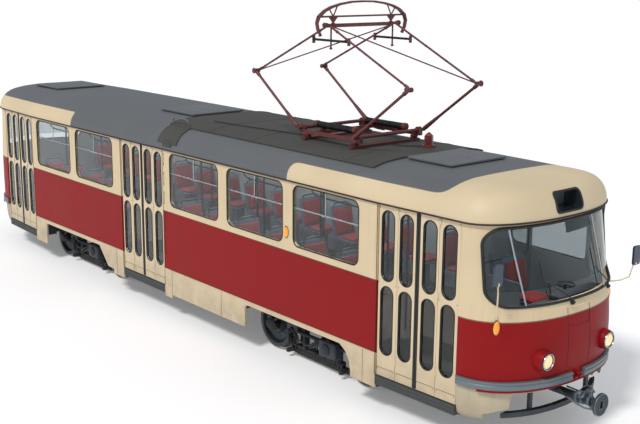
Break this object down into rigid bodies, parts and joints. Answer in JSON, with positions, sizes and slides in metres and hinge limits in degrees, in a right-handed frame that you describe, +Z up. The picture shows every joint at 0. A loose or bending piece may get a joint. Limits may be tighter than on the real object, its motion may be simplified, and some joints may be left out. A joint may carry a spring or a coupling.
{
  "type": "tram",
  "caption": "Single-car tram with two bogies, a raised diamond pantograph, three folding doorways and a hollow saloon with seats.",
  "frame": {"origin": "under the middle of the body, on the plane that the wheel flanges stand on", "axes": "+X towards the front, +Y to the tram's left, +Z up"},
  "size_m": [14.51, 2.722, 4.935],
  "materials": {
    "red_paint": "satin",
    "cream_paint": "satin",
    "roof_paint": "satin",
    "walkway_mat": "matt",
    "window_glass": "clear",
    "dark_steel": "satin",
    "bumper_steel": "satin",
    "step_steel": "satin",
    "floor_wood": "matt",
    "lamp_glass": "clear",
    "amber_glass": "gloss",
    "sign_black": "gloss",
    "mirror_blue": "satin",
    "pantograph_paint": "satin",
    "spring_black": "satin",
    "arrester_red": "gloss",
    "seat_laminate": "satin",
    "seat_red": "satin",
    "desk_grey": "matt",
    "partition_grey": "satin",
    "rail_black": "satin",
    "wheel_steel": "worn"
  },
  "bodies": {
    "body": {"floor": "floor_wood", "underframe": "dark_steel", "left_wall": "red_paint", "right_wall_front": "red_paint", "right_wall_rear": "red_paint", "front_end": "red_paint", "rear_end": "red_paint", "roof": "roof_paint", "windscreen": "window_glass", "rear_window": "window_glass", "side_windows": "window_glass", "skirts": "cream_paint", "aprons": "cream_paint", "bumpers": "bumper_steel", "door_steps": "step_steel", "headlights": "lamp_glass", "marker_lamps": "amber_glass", "destination_sign": "sign_black", "mirrors": "mirror_blue", "roof_walkway": "walkway_mat", "roof_vents": "roof_paint", "pantograph_base": "pantograph_paint", "pantograph_springs": "spring_black", "surge_arrester": "arrester_red", "seats": "seat_laminate", "seat_cushions": "seat_red", "driver_desk": "desk_grey", "cab_partition": "partition_grey", "handrails": "rail_black"},
    "pantograph_lower_front": {"pantograph_lower_front": "pantograph_paint"},
    "pantograph_lower_rear": {"pantograph_lower_rear": "pantograph_paint"},
    "pantograph_upper_front": {"pantograph_upper_front": "pantograph_paint"},
    "pantograph_upper_rear": {"pantograph_upper_rear": "pantograph_paint"},
    "pantograph_head": {"pantograph_head": "pantograph_paint"},
    "front_bogie": {"front_bogie_frame": "dark_steel", "front_bogie_motors": "dark_steel", "front_track_brakes": "dark_steel"},
    "rear_bogie": {"rear_bogie_frame": "dark_steel", "rear_bogie_motors": "dark_steel", "rear_track_brakes": "dark_steel"},
    "wheelset_1": {"wheelset_1": "wheel_steel"},
    "wheelset_2": {"wheelset_2": "wheel_steel"},
    "wheelset_3": {"wheelset_3": "wheel_steel"},
    "wheelset_4": {"wheelset_4": "wheel_steel"},
    "front_coupler": {"front_coupler": "dark_steel"},
    "rear_coupler": {"rear_coupler": "dark_steel"},
    "front_door_leaf_1": {"front_door_leaf_1": "cream_paint"},
    "front_door_leaf_2": {"front_door_leaf_2": "cream_paint"},
    "front_door_leaf_3": {"front_door_leaf_3": "cream_paint"},
    "front_door_leaf_4": {"front_door_leaf_4": "cream_paint"},
    "middle_door_leaf_1": {"middle_door_leaf_1": "cream_paint"},
    "middle_door_leaf_2": {"middle_door_leaf_2": "cream_paint"},
    "middle_door_leaf_3": {"middle_door_leaf_3": "cream_paint"},
    "middle_door_leaf_4": {"middle_door_leaf_4": "cream_paint"},
    "rear_door_leaf_1": {"rear_door_leaf_1": "cream_paint"},
    "rear_door_leaf_2": {"rear_door_leaf_2": "cream_paint"},
    "rear_door_leaf_3": {"rear_door_leaf_3": "cream_paint"},
    "rear_door_leaf_4": {"rear_door_leaf_4": "cream_paint"}
  },
  "joints": [
    {"name": "front_bogie_turn", "type": "hinge", "parent": "body", "child": "front_bogie", "pos_m": [3.246, 0, 0.65], "axis": [0, 0, 1], "range_deg": [-8, 8]},
    {"name": "rear_bogie_turn", "type": "hinge", "parent": "body", "child": "rear_bogie", "pos_m": [-3.154, 0, 0.65], "axis": [0, 0, 1], "range_deg": [-8, 8]},
    {"name": "wheelset_1_spin", "type": "hinge", "parent": "front_bogie", "child": "wheelset_1", "pos_m": [4.196, 0, 0.377], "axis": [0, 1, 0], "continuous": true},
    {"name": "wheelset_2_spin", "type": "hinge", "parent": "front_bogie", "child": "wheelset_2", "pos_m": [2.296, 0, 0.377], "axis": [0, 1, 0], "continuous": true},
    {"name": "wheelset_3_spin", "type": "hinge", "parent": "rear_bogie", "child": "wheelset_3", "pos_m": [-2.204, 0, 0.377], "axis": [0, 1, 0], "continuous": true},
    {"name": "wheelset_4_spin", "type": "hinge", "parent": "rear_bogie", "child": "wheelset_4", "pos_m": [-4.104, 0, 0.377], "axis": [0, 1, 0], "continuous": true},
    {"name": "front_coupler_swing", "type": "hinge", "parent": "body", "child": "front_coupler", "pos_m": [6.35, 0, 0.56], "axis": [0, 0, 1], "range_deg": [-20, 20]},
    {"name": "rear_coupler_swing", "type": "hinge", "parent": "body", "child": "rear_coupler", "pos_m": [-6.35, 0, 0.56], "axis": [0, 0, 1], "range_deg": [-20, 20]},
    {"name": "pantograph_raise", "type": "hinge", "parent": "body", "child": "pantograph_lower_front", "pos_m": [3.719, 0, 3.222], "axis": [0, -1, 0], "range_deg": [-12, 14]},
    {"name": "pantograph_lower_rear_turn", "type": "hinge", "parent": "body", "child": "pantograph_lower_rear", "pos_m": [2.593, 0, 3.222], "axis": [0, -1, 0], "range_deg": [-14, 12]},
    {"name": "pantograph_front_knee", "type": "hinge", "parent": "pantograph_lower_front", "child": "pantograph_upper_front", "pos_m": [4.685, 0, 3.925], "axis": [0, -1, 0], "range_deg": [-27.58, 23.64]},
    {"name": "pantograph_rear_knee", "type": "hinge", "parent": "pantograph_lower_rear", "child": "pantograph_upper_rear", "pos_m": [1.627, 0, 3.925], "axis": [0, -1, 0], "range_deg": [-23.64, 27.58]},
    {"name": "pantograph_head_level", "type": "hinge", "parent": "pantograph_upper_front", "child": "pantograph_head", "pos_m": [3.156, 0, 4.626], "axis": [0, -1, 0], "range_deg": [-11.64, 13.58]},
    {"name": "front_door_open", "type": "hinge", "parent": "body", "child": "front_door_leaf_1", "pos_m": [4.86714, -1.21593, 1.5], "axis": [0, 0, 1], "range_deg": [0, 84]},
    {"name": "front_door_fold_2", "type": "hinge", "parent": "front_door_leaf_1", "child": "front_door_leaf_2", "pos_m": [5.16092, -1.22677, 1.5], "axis": [0, 0, 1], "range_deg": [-168, 0]},
    {"name": "front_door_turn_4", "type": "hinge", "parent": "body", "child": "front_door_leaf_4", "pos_m": [6.08791, -1.16114, 1.5], "axis": [0, 0, 1], "range_deg": [-84, 0]},
    {"name": "front_door_fold_3", "type": "hinge", "parent": "front_door_leaf_4", "child": "front_door_leaf_3", "pos_m": [5.79628, -1.19825, 1.5], "axis": [0, 0, 1], "range_deg": [0, 168]},
    {"name": "middle_door_open", "type": "hinge", "parent": "body", "child": "middle_door_leaf_1", "pos_m": [-1.194, -1.217, 1.5], "axis": [0, 0, 1], "range_deg": [0, 84]},
    {"name": "middle_door_fold_2", "type": "hinge", "parent": "middle_door_leaf_1", "child": "middle_door_leaf_2", "pos_m": [-0.901, -1.241, 1.5], "axis": [0, 0, 1], "range_deg": [-168, 0]},
    {"name": "middle_door_turn_4", "type": "hinge", "parent": "body", "child": "middle_door_leaf_4", "pos_m": [0.028, -1.217, 1.5], "axis": [0, 0, 1], "range_deg": [-84, 0]},
    {"name": "middle_door_fold_3", "type": "hinge", "parent": "middle_door_leaf_4", "child": "middle_door_leaf_3", "pos_m": [-0.265, -1.241, 1.5], "axis": [0, 0, 1], "range_deg": [0, 168]},
    {"name": "rear_door_open", "type": "hinge", "parent": "body", "child": "rear_door_leaf_1", "pos_m": [-5.70391, -1.16114, 1.5], "axis": [0, 0, 1], "range_deg": [0, 84]},
    {"name": "rear_door_fold_2", "type": "hinge", "parent": "rear_door_leaf_1", "child": "rear_door_leaf_2", "pos_m": [-5.41228, -1.19825, 1.5], "axis": [0, 0, 1], "range_deg": [-168, 0]},
    {"name": "rear_door_turn_4", "type": "hinge", "parent": "body", "child": "rear_door_leaf_4", "pos_m": [-4.48313, -1.21593, 1.5], "axis": [0, 0, 1], "range_deg": [-84, 0]},
    {"name": "rear_door_fold_3", "type": "hinge", "parent": "rear_door_leaf_4", "child": "rear_door_leaf_3", "pos_m": [-4.77692, -1.22677, 1.5], "axis": [0, 0, 1], "range_deg": [0, 168]}
  ],
  "couplings": [
    {"joint": "pantograph_lower_rear_turn", "follows": "pantograph_raise", "ratio": -1},
    {"joint": "pantograph_front_knee", "follows": "pantograph_raise", "ratio": -1.97},
    {"joint": "pantograph_rear_knee", "follows": "pantograph_raise", "ratio": 1.97},
    {"joint": "pantograph_head_level", "follows": "pantograph_raise", "ratio": 0.97},
    {"joint": "front_door_fold_2", "follows": "front_door_open", "ratio": -2},
    {"joint": "front_door_turn_4", "follows": "front_door_open", "ratio": -1},
    {"joint": "front_door_fold_3", "follows": "front_door_open", "ratio": 2},
    {"joint": "middle_door_fold_2", "follows": "middle_door_open", "ratio": -2},
    {"joint": "middle_door_turn_4", "follows": "middle_door_open", "ratio": -1},
    {"joint": "middle_door_fold_3", "follows": "middle_door_open", "ratio": 2},
    {"joint": "rear_door_fold_2", "follows": "rear_door_open", "ratio": -2},
    {"joint": "rear_door_turn_4", "follows": "rear_door_open", "ratio": -1},
    {"joint": "rear_door_fold_3", "follows": "rear_door_open", "ratio": 2}
  ]
}
